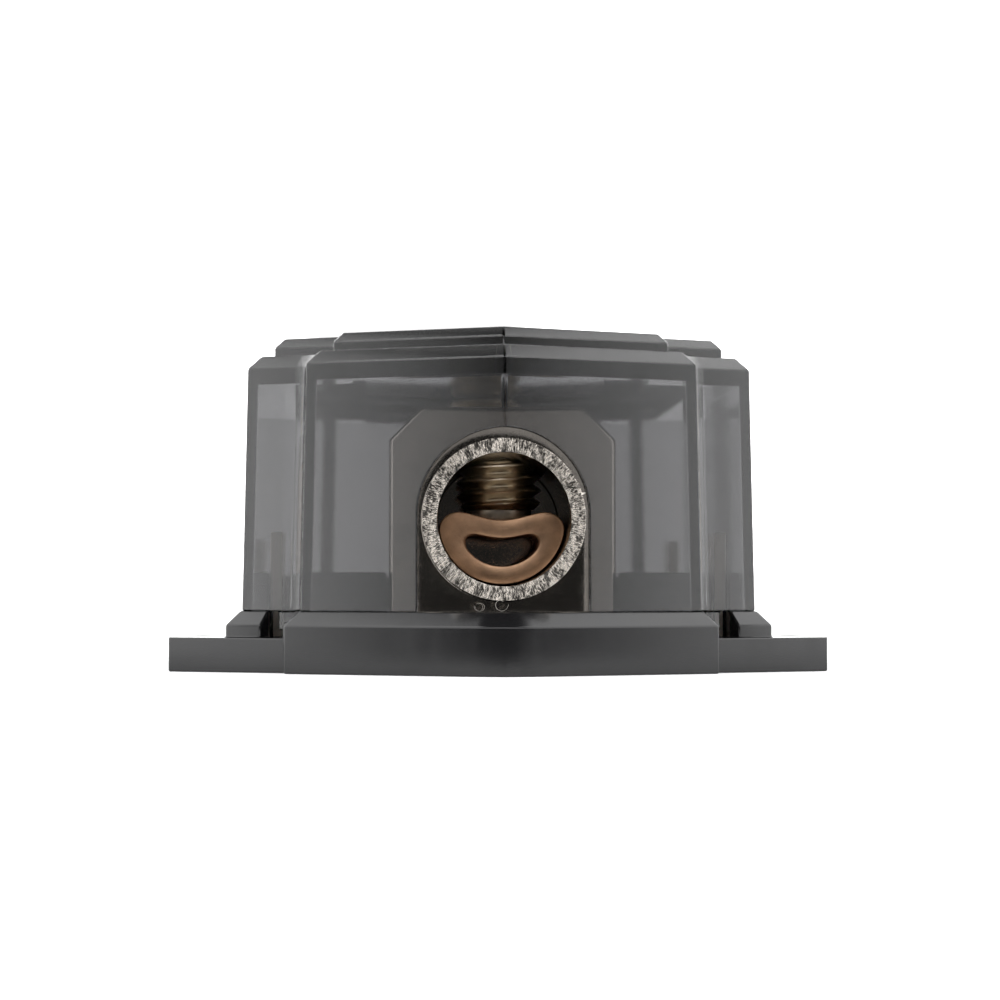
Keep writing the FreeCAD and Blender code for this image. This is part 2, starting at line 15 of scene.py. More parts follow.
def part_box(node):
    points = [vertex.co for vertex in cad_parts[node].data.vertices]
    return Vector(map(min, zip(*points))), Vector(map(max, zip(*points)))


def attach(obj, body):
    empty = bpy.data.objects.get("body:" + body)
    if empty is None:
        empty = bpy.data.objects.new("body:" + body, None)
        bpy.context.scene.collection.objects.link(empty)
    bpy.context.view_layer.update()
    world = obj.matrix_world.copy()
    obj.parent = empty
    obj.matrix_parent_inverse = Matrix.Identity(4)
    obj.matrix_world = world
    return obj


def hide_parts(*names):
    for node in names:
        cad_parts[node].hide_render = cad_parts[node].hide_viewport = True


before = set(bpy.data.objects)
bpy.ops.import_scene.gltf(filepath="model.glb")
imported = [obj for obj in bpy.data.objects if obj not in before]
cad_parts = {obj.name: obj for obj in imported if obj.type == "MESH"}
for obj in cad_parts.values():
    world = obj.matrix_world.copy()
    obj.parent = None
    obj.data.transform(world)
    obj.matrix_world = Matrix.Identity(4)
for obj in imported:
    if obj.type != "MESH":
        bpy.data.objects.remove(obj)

bl_info = {
    "name": "Battery Monitor Shunt",
    "version": (1, 0, 0),
    "blender": (4, 5, 0),
    "location": "View3D > Sidebar > Shunt",
    "description": "Finishes the parts of a battery monitor shunt around its packed frame",
    "category": "Object",
}

SIDES = ("front", "rear")
WELD = 1e-6
FLAT_ANGLE = math.radians(0.4)
EDGE_ANGLE = math.radians(25.0)
SMOOTH_ANGLE = math.radians(32.0)
UPRIGHT_LENGTH = 0.008
CROWN_DEPTH = 0.0035
CROWN_LENGTH = 0.002
CORNER_ANGLE = math.radians(40.0)
RIM_DEPTH = 0.0025
BURR_ANGLE = math.radians(18.0)
# how far out from the axis, how far ahead of the mouth, and the share of its thickness
BURR_STATIONS = ((0.00715, -0.0001, 1.2), (0.00728, 0.00008, 1.0), (0.00742, 0.00016, 0.8),
                 (0.00758, 0.00014, 0.35))
# the patch that the swarf lies on: from left to right, and ahead of the barrel's mouth
SWARF_ACROSS = (-0.0024, -0.0003)
SWARF_AHEAD = (0.0009, 0.0003)
# where a thread's flank starts and ends, as shares of half the pitch
THREAD_FLANK = (0.14, 0.86)
COVER_ROUGHNESS = 0.055
COVER_INDEX = 1.585

# how strong the studio's light is from each direction, and its least strength
SIDE_LIGHT = 2.8
BEHIND_LIGHT = 1.05
ABOVE_LIGHT = 2.2
LEAST_LIGHT = 0.02
SEEN_THROUGH = 0.74
# where each light fades in and out, by direction
SIDE_FADE = (-0.99, -0.76)
SIDE_TOP_FADE = (3.2, 1.9)
SIDE_SHIFT = 0.12
BEHIND_FADE = (0.1, 0.4)
ABOVE_LOW_FADE = (0.3, 0.5)
ABOVE_HIGH_FADE = (1.3, 0.9)
ABOVE_FRONT_FADE = (-0.2, -0.4)
FRONT_FADE = (0.05, -0.15)
LEAST_DIVISOR = 0.001

FLOOR_HALF = 3.0
FLOOR_AHEAD = 0.062
FLOOR_COLOUR = (0.93, 0.93, 0.93, 1.0)
FLOOR_GLOW = 0.25
SENSOR_WIDTH = 36.0
LENS_LENGTH = 90.73
CAMERA_PLACE = (-0.00812, -0.26228, 0.00794)
CAMERA_DEGREES = (90.0 + 1.963, -0.035, -1.985)


# ---------------------------------------------------------------- sizes and finishes
class ShuntSizes(bpy.types.PropertyGroup):
    """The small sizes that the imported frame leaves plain."""

    housing_edge: FloatProperty(
        name="Housing edge", description="Rounding along the moulded base's edges",
        default=0.00016, unit="LENGTH")
    cover_edge: FloatProperty(
        name="Cover edge", description="Rounding along the clear cover's edges",
        default=0.00014, unit="LENGTH")
    block_corner: FloatProperty(
        name="Block corner", description="Rounding round the blocks' cable ends",
        default=0.0006, unit="LENGTH")
    metal_edge: FloatProperty(
        name="Metal edge", description="Rounding along the edges of the metal pieces",
        default=0.0001, unit="LENGTH")
    thread_pitch: FloatProperty(
        name="Thread pitch", description="Rise of the set screws' thread in one turn",
        default=0.00125, unit="LENGTH")
    thread_depth: FloatProperty(
        name="Thread depth", description="Depth of the set screws' thread",
        default=0.00068, unit="LENGTH")
    hex_across: FloatProperty(
        name="Hexagon across flats", description="Width of the set screws' hexagon socket",
        default=0.004, unit="LENGTH")
    hex_depth: FloatProperty(
        name="Hexagon depth", description="Depth of the set screws' hexagon socket",
        default=0.0038, unit="LENGTH")
    stem_bore: FloatProperty(
        name="Stem bore", description="Width of the hole for the pressure tip's stem",
        default=0.0031, unit="LENGTH")
    stem_depth: FloatProperty(
        name="Stem bore depth", description="Depth of the hole for the pressure tip's stem",
        default=0.0018, unit="LENGTH")
    sleeve_wall: FloatProperty(
        name="Sleeve wall", description="Wall of the copper reducer sleeve",
        default=0.0017, unit="LENGTH")
    sleeve_dent: FloatProperty(
        name="Sleeve dent", description="How far the set screw has pressed the sleeve in",
        default=0.0008, unit="LENGTH")
    swarf_count: IntProperty(
        name="Swarf curls", description="Curls of swarf left on the base under the barrel",
        default=3, min=1, max=40)
    swarf_seed: IntProperty(
        name="Swarf seed", description="Number that strews the swarf", default=5)
    swarf_curl: FloatProperty(
        name="Swarf curl", description="Radius of a curl of swarf",
        default=0.0006, unit="LENGTH")
    burr_thick: FloatProperty(
        name="Burr thickness", description="Half thickness of the burr on the mouth's edge",
        default=0.00005, unit="LENGTH")
    swarf_wire: FloatProperty(
        name="Swarf thickness", description="Radius of the wire that a curl is",
        default=0.000013, unit="LENGTH")


class ShuntFinishes(bpy.types.PropertyGroup):
    """Colours, and the strength of the smoke tint."""

    base_colour: FloatVectorProperty(
        name="Base", description="Black moulded plastic", subtype="COLOR",
        default=(0.007, 0.007, 0.0075), min=0.0, max=1.0)
    smoke_colour: FloatVectorProperty(
        name="Smoke", description="Tint of the clear cover in depth", subtype="COLOR",
        default=(0.47, 0.47, 0.48), min=0.0, max=1.0)
    smoke_density: FloatProperty(
        name="Smoke density", description="Absorption of the cover per metre",
        default=1600.0, min=0.0)
    nickel_colour: FloatVectorProperty(
        name="Nickel", description="Nickel plate on the terminal blocks", subtype="COLOR",
        default=(0.63, 0.58, 0.52), min=0.0, max=1.0)
    steel_colour: FloatVectorProperty(
        name="Steel", description="Plated steel of the set screws", subtype="COLOR",
        default=(0.66, 0.58, 0.46), min=0.0, max=1.0)
    zinc_colour: FloatVectorProperty(
        name="Zinc", description="Zinc plate on the block screws", subtype="COLOR",
        default=(0.60, 0.60, 0.61), min=0.0, max=1.0)
    strip_colour: FloatVectorProperty(
        name="Resistance strip", description="Bare brown resistance alloy", subtype="COLOR",
        default=(0.46, 0.33, 0.23), min=0.0, max=1.0)
    copper_colour: FloatVectorProperty(
        name="Copper", description="Dull copper of the reducer sleeve", subtype="COLOR",
        default=(0.43, 0.265, 0.165), min=0.0, max=1.0)


# ---------------------------------------------------------------- node trees
def add(tree, kind, inputs=None, **settings):
    """A node with its settings, and its inputs linked to sockets or set to values."""
    made = tree.nodes.new(kind)
    for name, value in settings.items():
        setattr(made, name, value)
    for name, value in (inputs or {}).items():
        if isinstance(value, bpy.types.NodeSocket):
            tree.links.new(value, made.inputs[name])
        else:
            made.inputs[name].default_value = value
    return made


def maths(tree, operation, *values):
    """The result of a Math node."""
    return add(tree, "ShaderNodeMath", dict(enumerate(values)), operation=operation).outputs[0]


def spread(tree, value, low, high, to_low=0.0, to_high=1.0, smooth=False):
    """A value moved from one range to another, and held inside it."""
    made = add(tree, "ShaderNodeMapRange",
               {0: value, 1: low, 2: high, 3: to_low, 4: to_high},
               interpolation_type="SMOOTHSTEP" if smooth else "LINEAR")
    return made.outputs[0]


def ramp(tree, value, stops):
    """A colour that follows a value, from a few stops."""
    made = add(tree, "ShaderNodeValToRGB", {0: value})
    elements = made.color_ramp.elements
    for place, _ in stops[2:]:
        elements.new(place)
    for element, (place, colour) in zip(elements, stops):
        element.position = place
        element.color = (*colour, 1.0)
    return made.outputs[0]


def shade(colour, amount):
    """A colour made darker or lighter by a factor."""
    return tuple(min(1.0, part * amount) for part in colour)


def noise(tree, place, scale, detail=3.0, stretch=None):
    """A noise value over the piece. Stretch draws it out along an axis."""
    if stretch:
        place = add(tree, "ShaderNodeMapping", {"Vector": place, "Scale": stretch}).outputs[0]
    return add(tree, "ShaderNodeTexNoise",
               {"Vector": place, "Scale": scale, "Detail": detail}).outputs[0]


def new_material(name):
    """A material, its tree, its shader and the place of a point on the piece."""
    material = bpy.data.materials.new(name)
    material.use_nodes = True
    tree = material.node_tree
    place = add(tree, "ShaderNodeTexCoord").outputs["Object"]
    return material, tree, tree.nodes["Principled BSDF"], place


def set_bump(tree, shader, height, distance, strength=1.0, under=None):
    """Raises the shader's surface by a height."""
    inputs = {"Height": height, "Distance": distance, "Strength": strength}
    if under is not None:
        inputs["Normal"] = under
    bump = add(tree, "ShaderNodeBump", inputs).outputs[0]
    tree.links.new(bump, shader.inputs["Normal"])
    return bump


# ---------------------------------------------------------------- materials
def black_plastic(colours):
    """Satin moulded plastic with a fine spark-eroded grain and a few rubbed patches."""
    material, tree, shader, place = new_material("black_plastic")
    cloud = noise(tree, place, 110.0, 4.0)
    rubbed = noise(tree, place, 420.0, 6.0, (1.0, 1.0, 0.12))
    grain = noise(tree, place, 7000.0, 2.0)
    base = tuple(colours.base_colour)
    tone = ramp(tree, cloud, [(0.3, base), (0.75, shade(base, 1.7))])
    tree.links.new(tone, shader.inputs["Base Color"])
    rough = maths(tree, "ADD", spread(tree, cloud, 0.3, 0.7, 0.13, 0.17),
                  spread(tree, rubbed, 0.55, 0.75, 0.0, 0.06))
    tree.links.new(rough, shader.inputs["Roughness"])
    set_bump(tree, shader, grain, 0.000006, 0.5)
    return material


def smoked_plastic(colours):
    """Polished smoke-grey clear plastic, which darkens with depth."""
    material, tree, shader, place = new_material("smoked_plastic")
    shader.inputs["Base Color"].default_value = (1.0, 1.0, 1.0, 1.0)
    shader.inputs["Roughness"].default_value = COVER_ROUGHNESS
    shader.inputs["IOR"].default_value = COVER_INDEX
    shader.inputs["Transmission Weight"].default_value = 1.0
    flow = noise(tree, place, 60.0, 2.0)
    set_bump(tree, shader, flow, 0.00003, 0.3)
    depth = add(tree, "ShaderNodeVolumeAbsorption",
                {"Color": (*colours.smoke_colour, 1.0), "Density": colours.smoke_density})
    output = tree.nodes["Material Output"]
    tree.links.new(depth.outputs[0], output.inputs["Volume"])
    return material


def plated_metal(name, colour, roughness, drawn, mark_depth):
    """Bright plate over drawn stock: fine lines along one axis, clouds and small pits."""
    material, tree, shader, place = new_material(name)
    shader.inputs["Metallic"].default_value = 1.0
    cloud = noise(tree, place, 260.0, 5.0)
    lines = noise(tree, place, 5200.0, 3.0, drawn)
    pits = noise(tree, place, 2600.0, 2.0)
    tone = ramp(tree, cloud, [(0.25, shade(colour, 0.8)), (0.7, colour)])
    tree.links.new(tone, shader.inputs["Base Color"])
    rough = maths(tree, "ADD", spread(tree, cloud, 0.3, 0.7, roughness * 0.8, roughness * 1.3),
                  spread(tree, lines, 0.45, 0.75, 0.0, 0.08))
    tree.links.new(rough, shader.inputs["Roughness"])
    height = maths(tree, "ADD", lines, spread(tree, pits, 0.62, 0.78, 0.0, -1.5))
    under = set_bump(tree, shader, height, mark_depth, 0.6)
    return material, tree, shader, place, under


def nickel_plate(colours, mouth, axis_height):
    """Nickel plate, with the coarse radial tool marks of the sawn and faced barrel ends."""
    colour = tuple(colours.nickel_colour)
    material, tree, shader, place, under = plated_metal(
        "nickel_plate", colour, 0.1, (1.0, 0.06, 1.0), 0.000003)
    parts = add(tree, "ShaderNodeSeparateXYZ", {0: place}).outputs
    height = maths(tree, "SUBTRACT", parts[2], axis_height)
    spoke = add(tree, "ShaderNodeCombineXYZ", {0: parts[0], 2: height}).outputs[0]
    out = add(tree, "ShaderNodeVectorMath", {0: spoke}, operation="LENGTH").outputs["Value"]
    spoke = add(tree, "ShaderNodeVectorMath", {0: spoke}, operation="NORMALIZE").outputs[0]
    step = add(tree, "ShaderNodeCombineXYZ", {1: maths(tree, "MULTIPLY", out, 25.0)}).outputs[0]
    spoke = add(tree, "ShaderNodeVectorMath", {0: spoke, 1: step}, operation="ADD").outputs[0]
    sawn = noise(tree, spoke, 110.0, 3.0)
    torn = noise(tree, place, 2400.0, 4.0, (1.0, 1.0, 0.45))
    marks = maths(tree, "ADD", sawn, maths(tree, "MULTIPLY", torn, 0.7))
    stain = spread(tree, marks, 0.76, 0.96, 0.06, 1.0)
    along = maths(tree, "ABSOLUTE", parts[1])
    faced = spread(tree, along, mouth - 0.00012, mouth - 0.00004)
    raised = maths(tree, "MULTIPLY", marks, faced)
    darker = maths(tree, "MULTIPLY", faced, maths(tree, "SUBTRACT", stain, 1.0))
    worn = maths(tree, "ADD", 1.0, darker)
    plain = shader.inputs["Base Color"].links[0].from_socket
    shown = add(tree, "ShaderNodeVectorMath", {0: plain, "Scale": worn}, operation="SCALE")
    tree.links.new(shown.outputs[0], shader.inputs["Base Color"])
    set_bump(tree, shader, raised, 0.0001, 1.0, under)
    return material


def steel_screw(colours):
    """Plated steel of the set screws and their tips, with fine lines up and down."""
    return plated_metal("steel_screw", tuple(colours.steel_colour), 0.3,
                        (1.0, 1.0, 0.15), 0.000004)[0]


def nickel_strip(colours):
    """Nickel-plated strip, dull and grooved along its sheared edges."""
    material, tree, shader, place, _ = plated_metal(
        "nickel_strip", tuple(colours.nickel_colour), 0.2, (0.1, 1.0, 0.1), 0.000004)
    facing = add(tree, "ShaderNodeNewGeometry").outputs["Normal"]
    facing = maths(tree, "ABSOLUTE", add(tree, "ShaderNodeSeparateXYZ", {0: facing}).outputs[1])
    sheared = spread(tree, facing, 0.7, 0.9)
    plain = shader.inputs["Roughness"].links[0].from_socket
    dull = maths(tree, "MAXIMUM", plain, maths(tree, "MULTIPLY", sheared, 0.5))
    tree.links.new(dull, shader.inputs["Roughness"])
    return material


def zinc_screw(colours):
    """Zinc plate of the countersunk screws."""
    return plated_metal("zinc_screw", tuple(colours.zinc_colour), 0.24,
                        (1.0, 1.0, 1.0), 0.000003)[0]


def manganin(colours):
    """Bare resistance alloy, drawn along the strips."""
    return plated_metal("manganin", tuple(colours.strip_colour), 0.32,
                        (1.0, 0.05, 1.0), 0.000006)[0]


def copper(colours):
    """Dull copper with brown tarnish and the drag marks of the press fit."""
    colour = tuple(colours.copper_colour)
    material, tree, shader, place, _ = plated_metal(
        "copper", colour, 0.45, (1.0, 0.08, 1.0), 0.00001)
    tarnish = noise(tree, place, 700.0, 6.0)
    stops = [(0.3, shade(colour, 0.7)), (0.55, shade(colour, 0.95)), (0.75, shade(colour, 1.15))]
    tree.links.new(ramp(tree, tarnish, stops), shader.inputs["Base Color"])
    return material


# ---------------------------------------------------------------- meshes
def node_form(node):
    """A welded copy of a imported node's mesh, with its flat faces made whole."""
    form = bmesh.new()
    form.from_mesh(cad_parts[node].data)
    bmesh.ops.remove_doubles(form, verts=form.verts, dist=WELD)
    bmesh.ops.dissolve_limit(form, angle_limit=FLAT_ANGLE, verts=form.verts, edges=form.edges)
    return form


def new_piece(name, mesh, material):
    """A shown piece whose mesh has one finish."""
    mesh.materials.clear()
    mesh.materials.append(material)
    piece = bpy.data.objects.new(name, mesh)
    bpy.context.scene.collection.objects.link(piece)
    return piece


def piece_from_form(name, form, material):
    """A shown piece made from a form, which is used up."""
    mesh = bpy.data.meshes.new(name)
    form.to_mesh(mesh)
    form.free()
    return new_piece(name, mesh, material)


def settle(piece):
    """Turns what a piece's modifiers make into its plain mesh, and removes them."""
    graph = bpy.context.evaluated_depsgraph_get()
    graph.update()
    mesh = bpy.data.meshes.new_from_object(piece.evaluated_get(graph))
    piece.modifiers.clear()
    piece.data = mesh
    mesh.name = piece.name
    return piece


def round_edges(piece, width, steps=2):
    """Rounds the piece's sharp edges by a small width."""
    bevel = piece.modifiers.new("Edge", "BEVEL")
    bevel.width = width
    bevel.segments = steps
    bevel.limit_method = "ANGLE"
    bevel.angle_limit = EDGE_ANGLE
    bevel.use_clamp_overlap = False
    bevel.miter_outer = "MITER_SHARP"
    piece.data.polygons.foreach_set("use_smooth", [True] * len(piece.data.polygons))
    even = piece.modifiers.new("Even", "WEIGHTED_NORMAL")
    even.keep_sharp = True
    return settle(piece)


def smooth(piece):
    """Smooth shading that stops at sharp edges."""
    piece.data.polygons.foreach_set("use_smooth", [True] * len(piece.data.polygons))
    piece.data.set_sharp_from_angle(angle=SMOOTH_ANGLE)
    piece.data.update()


def keep_inside(piece, node):
    """Holds a piece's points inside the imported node's box."""
    low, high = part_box(node)
    for point in piece.data.vertices:
        point.co = [min(max(at, least), most) for at, least, most in zip(point.co, low, high)]


def end_corners(form):
    """The long edges round a block's cable end, clear of its barrel."""
    half = max(point.co.x for point in form.verts)
    sides = [abs(point.co.y) for point in form.verts if point.co.x > half - WELD]
    top = max(point.co.z for point in form.verts)
    found = []
    for line in form.edges:
        ahead = min(abs(point.co.y) for point in line.verts) > max(sides) - WELD
        rise = abs(line.verts[0].co.z - line.verts[1].co.z)
        upright = rise > UPRIGHT_LENGTH and rise > 0.99 * line.calc_length()
        crown = (min(point.co.z for point in line.verts) > top - CROWN_DEPTH
                 and line.calc_length() > CROWN_LENGTH)
        if ahead and (upright or crown) and line.calc_face_angle(0.0) > CORNER_ANGLE:
            found.append(line)
    return found


def stand_for(piece, node, body):
    """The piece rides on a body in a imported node's place, and the node is hidden."""
    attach(piece, body)
    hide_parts(node)


def finished_copy(node, name, body, material, edge, corner=0.0):
    """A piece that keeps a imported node's form, with its edges rounded. The corners round
    a block's cable end may be rounded more."""
    form = node_form(node)
    if corner:
        bmesh.ops.bevel(form, geom=end_corners(form), offset=corner, segments=4, profile=0.5,
                        affect="EDGES", clamp_overlap=False)
    piece = piece_from_form(name, form, material)
    round_edges(piece, edge)
    keep_inside(piece, node)
    stand_for(piece, node, body)
    return piece


def barrel_axis():
    """How high the barrels' axis is: the round underside of the sleeve is centred on it."""
    low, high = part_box("front_copper_sleeve")
    return low.z + (high.x - low.x) / 2


# ---------------------------------------------------------------- set screws
def plug(tree, corners, radius, depth, middle):
    """An upright prism that a hole is cut with."""
    prism = add(tree, "GeometryNodeMeshCylinder",
                {"Vertices": corners, "Radius": radius, "Depth": depth})
    lift = add(tree, "ShaderNodeCombineXYZ", {2: middle}).outputs[0]
    moved = add(tree, "GeometryNodeTransform", {"Geometry": prism.outputs[0], "Translation": lift})
    return moved.outputs[0]


def screw_tree(sizes, radius, length, material):
    """Geometry nodes for a threaded set screw that stands on the origin."""
    tree = bpy.data.node_groups.new("SetScrew", "GeometryNodeTree")
    tree.interface.new_socket("Geometry", in_out="OUTPUT", socket_type="NodeSocketGeometry")
    named = {
        "Radius": radius, "Length": length, "Pitch": sizes.thread_pitch,
        "Thread Depth": sizes.thread_depth, "Hexagon Across": sizes.hex_across,
        "Hexagon Depth": sizes.hex_depth, "Stem Bore": sizes.stem_bore,
        "Stem Depth": sizes.stem_depth,
    }
    for name in named:
        tree.interface.new_socket(name, in_out="INPUT", socket_type="NodeSocketFloat")
    given = add(tree, "NodeGroupInput").outputs
    around, per_turn = 72, 10
    turns = math.ceil(length / sizes.thread_pitch) + 2
    rows = turns * per_turn

    grid = add(tree, "GeometryNodeMeshGrid",
               {"Size X": 1.0, "Size Y": 1.0, "Vertices X": around + 1, "Vertices Y": rows + 1})
    place = add(tree, "GeometryNodeInputPosition").outputs[0]
    place = add(tree, "ShaderNodeSeparateXYZ", {0: place})
    turn = maths(tree, "ADD", place.outputs[0], 0.5)
    row = maths(tree, "MULTIPLY", maths(tree, "ADD", place.outputs[1], 0.5), float(turns))
    rise = maths(tree, "SUBTRACT", maths(tree, "ADD", row, turn), 1.0)
    height = maths(tree, "MULTIPLY", rise, given["Pitch"])
    height = maths(tree, "MINIMUM", maths(tree, "MAXIMUM", height, 0.0), given["Length"])
    phase = maths(tree, "FRACT", maths(tree, "ADD", row, 0.5 / rows))
    slope = maths(tree, "SUBTRACT", maths(tree, "MULTIPLY", phase, 2.0), 1.0)
    cut = spread(tree, maths(tree, "ABSOLUTE", slope), *THREAD_FLANK)
    root = maths(tree, "SUBTRACT", given["Radius"], given["Thread Depth"])
    reach = maths(tree, "MULTIPLY", cut, given["Thread Depth"])
    reach = maths(tree, "SUBTRACT", given["Radius"], reach)
    from_top = maths(tree, "SUBTRACT", given["Length"], height)
    from_end = maths(tree, "MINIMUM", height, from_top)
    reach = maths(tree, "MINIMUM", reach, maths(tree, "ADD", root, from_end))
    first = maths(tree, "GREATER_THAN", row, 0.5 / per_turn)
    last = maths(tree, "LESS_THAN", row, turns - 0.5 / per_turn)
    reach = maths(tree, "MULTIPLY", reach, maths(tree, "MULTIPLY", first, last))
    angle = maths(tree, "MULTIPLY", turn, 2 * math.pi)
    place = add(tree, "ShaderNodeCombineXYZ", {
        0: maths(tree, "MULTIPLY", reach, maths(tree, "COSINE", angle)),
        1: maths(tree, "MULTIPLY", reach, maths(tree, "SINE", angle)),
        2: height}).outputs[0]
    shank = add(tree, "GeometryNodeSetPosition", {"Geometry": grid.outputs[0], "Position": place})
    shank = add(tree, "GeometryNodeMergeByDistance",
                {"Geometry": shank.outputs[0], "Distance": WELD})

    half = maths(tree, "MULTIPLY", given["Hexagon Across"], 0.5 / math.cos(math.pi / 6))
    lift = maths(tree, "SUBTRACT", given["Length"], given["Hexagon Depth"])
    hexagon = plug(tree, 6, half, maths(tree, "MULTIPLY", given["Hexagon Depth"], 2.0),
                   maths(tree, "ADD", lift, given["Hexagon Depth"]))
    stem = plug(tree, 40, maths(tree, "MULTIPLY", given["Stem Bore"], 0.5),
                maths(tree, "MULTIPLY", given["Stem Depth"], 2.0), 0.0)
    shape = add(tree, "GeometryNodeMeshBoolean", operation="DIFFERENCE", solver="EXACT")
    tree.links.new(shank.outputs[0], shape.inputs[0])
    for tool in (hexagon, stem):
        tree.links.new(tool, shape.inputs[1])
    solid = add(tree, "GeometryNodeRealizeInstances", {0: shape.outputs[0]})
    solid = add(tree, "GeometryNodeSetMaterial",
                {"Geometry": solid.outputs[0], "Material": material})
    add(tree, "NodeGroupOutput", {0: solid.outputs[0]})
    return tree, named


def run_tree(name, tree, named, material):
    """The plain mesh that a geometry tree makes, with its named inputs set."""
    piece = new_piece(name, bpy.data.meshes.new(name), material)
    modifier = piece.modifiers.new("Form", "NODES")
    modifier.node_group = tree
    for item in tree.interface.items_tree:
        if item.in_out == "INPUT" and item.name in named:
            modifier[item.identifier] = named[item.name]
    return settle(piece)


class SHUNT_OT_make_base(bpy.types.Operator):
    """Make the black moulded base with its chamfered rim and fixing ears"""

    bl_idname = "shunt.make_base"
    bl_label = "Base"

    def execute(self, context):
        sizes = context.scene.shunt_sizes
        material = black_plastic(context.scene.shunt_finishes)
        finished_copy("base", "moulded_base", "root", material,
                      sizes.housing_edge)
        return {"FINISHED"}


class SHUNT_OT_make_cover(bpy.types.Operator):
    """Make the smoked clear cover that lifts off upwards"""

    bl_idname = "shunt.make_cover"
    bl_label = "Cover"

    def execute(self, context):
        sizes = context.scene.shunt_sizes
        material = smoked_plastic(context.scene.shunt_finishes)
        finished_copy("cover", "clear_cover", "cover", material,
                      sizes.cover_edge)
        return {"FINISHED"}


class SHUNT_OT_make_blocks(bpy.types.Operator):
    """Make the two plated clamp blocks"""

    bl_idname = "shunt.make_blocks"
    bl_label = "Terminal blocks"

    def execute(self, context):
        sizes = context.scene.shunt_sizes
        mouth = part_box("rear_terminal_block")[1].y
        material = nickel_plate(context.scene.shunt_finishes, mouth, barrel_axis())
        for side in SIDES:
            finished_copy(f"{side}_terminal_block", f"{side}_clamp_block", "root",
                          material, sizes.metal_edge, sizes.block_corner)
        return {"FINISHED"}


class SHUNT_OT_make_set_screws(bpy.types.Operator):
    """Make the two threaded set screws with hexagon sockets"""

    bl_idname = "shunt.make_set_screws"
    bl_label = "Set screws"

    def execute(self, context):
        sizes = context.scene.shunt_sizes
        material = steel_screw(context.scene.shunt_finishes)
        for side in SIDES:
            low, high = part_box(f"{side}_set_screw")
            radius = (high.x - low.x) / 2
            tree, named = screw_tree(sizes, radius, high.z - low.z, material)
            piece = run_tree(f"{side}_threaded_screw", tree, named, material)
            foot = Vector(((low.x + high.x) / 2, (low.y + high.y) / 2, low.z))
            piece.data.transform(Matrix.Translation(foot))
            smooth(piece)
            stand_for(piece, f"{side}_set_screw", f"{side}_screw")
        return {"FINISHED"}


class SHUNT_OT_make_tips(bpy.types.Operator):
    """Make the pressure tips that the set screws carry"""

    bl_idname = "shunt.make_tips"
    bl_label = "Pressure tips"

    def execute(self, context):
        sizes = context.scene.shunt_sizes
        material = bpy.data.materials["steel_screw"]
        for side in SIDES:
            finished_copy(f"{side}_pressure_tip", f"{side}_pressure_disc", f"{side}_tip",
                          material, sizes.metal_edge)
        return {"FINISHED"}


# ---------------------------------------------------------------- reducer sleeve
def sleeve_outline(radius, shoulder, dent, reach, inset, corners):
    """The pressed sleeve's outline about the bore's axis, moved in by an inset. Its
    underside is round, and its top dips between two shoulders."""
    blend = radius * 0.38
    middle = -radius * 0.54

    def depth(x, z):
        side = radius - math.hypot(x, z)
        dip = dent * math.cos(min(1.0, abs(x) / reach) * math.pi / 2) ** 2
        top = shoulder - dip - z
        mix = max(0.0, blend - abs(side - top)) / blend
        return min(side, top) - mix * mix * blend / 4 - inset

    points = []
    for corner in range(corners):
        angle = 2 * math.pi * corner / corners
        near, far = 0.0, 2 * radius
        for _ in range(40):
            half = (near + far) / 2
            inside = depth(half * math.cos(angle), middle + half * math.sin(angle)) > 0
            near, far = (half, far) if inside else (near, half)
        points.append((near * math.cos(angle), middle + near * math.sin(angle)))
    return points


def sleeve_form(sizes):
    """The sleeve as rings of points, from its front lip round to its hollow."""
    low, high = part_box("front_copper_sleeve")
    axis = barrel_axis()
    radius = (high.x - low.x) / 2
    shoulder = high.z - axis
    reach = radius * 0.8
    wall = sizes.sleeve_wall
    lip = wall * 0.16
    stations = [
        (low.y + lip, 0.0), (low.y + lip * 0.3, lip * 0.3), (low.y, lip),
        (low.y, wall - lip), (low.y + lip * 0.3, wall - lip * 0.3), (low.y + lip, wall),
        (high.y - lip, wall), (high.y - lip * 0.3, wall - lip * 0.3), (high.y, wall - lip),
        (high.y, lip), (high.y - lip * 0.3, lip * 0.3), (high.y - lip, 0.0),
    ]
    corners = 96
    form = bmesh.new()
    rings = []
    for along, inset in stations:
        outline = sleeve_outline(radius, shoulder, sizes.sleeve_dent, reach, inset, corners)
        rings.append([form.verts.new((x, along, axis + z)) for x, z in outline])
    for ring, following in zip(rings, rings[1:] + rings[:1]):
        for corner in range(corners):
            after = (corner + 1) % corners
            form.faces.new((ring[corner], ring[after], following[after], following[corner]))
    bmesh.ops.recalc_face_normals(form, faces=form.faces)
    return form


class SHUNT_OT_make_sleeve(bpy.types.Operator):
    """Make the dented copper reducer sleeve in the front bore"""

    bl_idname = "shunt.make_sleeve"
    bl_label = "Reducer sleeve"

    def execute(self, context):
        material = copper(context.scene.shunt_finishes)
        piece = piece_from_form("copper_sleeve", sleeve_form(context.scene.shunt_sizes), material)
        smooth(piece)
        stand_for(piece, "front_copper_sleeve", "root")
        return {"FINISHED"}


# ---------------------------------------------------------------- swarf
def rim_height():
    """How high the base's rim stands: the highest point near its front edge."""
    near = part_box("base")[0].y + RIM_DEPTH
    return max(point.co.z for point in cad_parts["base"].data.vertices if point.co.y < near)


